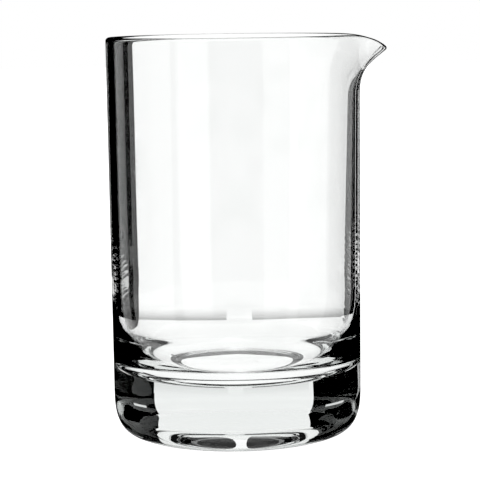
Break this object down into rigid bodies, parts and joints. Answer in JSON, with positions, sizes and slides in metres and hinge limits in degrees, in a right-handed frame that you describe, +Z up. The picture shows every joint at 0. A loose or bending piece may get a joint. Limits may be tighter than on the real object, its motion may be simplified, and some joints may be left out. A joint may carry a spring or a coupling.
{
  "type": "mixing glass",
  "caption": "Plain clear stirring glass with a thick base recessed underneath, straight round wall, rounded rim and a pouring lip drawn out of the rim.",
  "frame": {"origin": "on the surface that the glass stands on, at the centre of the box that holds the glass; the round body's axis stands half of the lip's overhang to -X of it", "axes": "+Z up along the glass's axis, +X towards the pouring lip, +Y across it, so that the plane y = 0 halves the glass through the lip"},
  "size_m": [0.1008, 0.0912, 0.1441],
  "materials": {
    "clear_glass": "clear, fire-polished, smooth"
  },
  "bodies": {
    "root": {"glass_vessel": "clear_glass"}
  },
  "joints": []
}
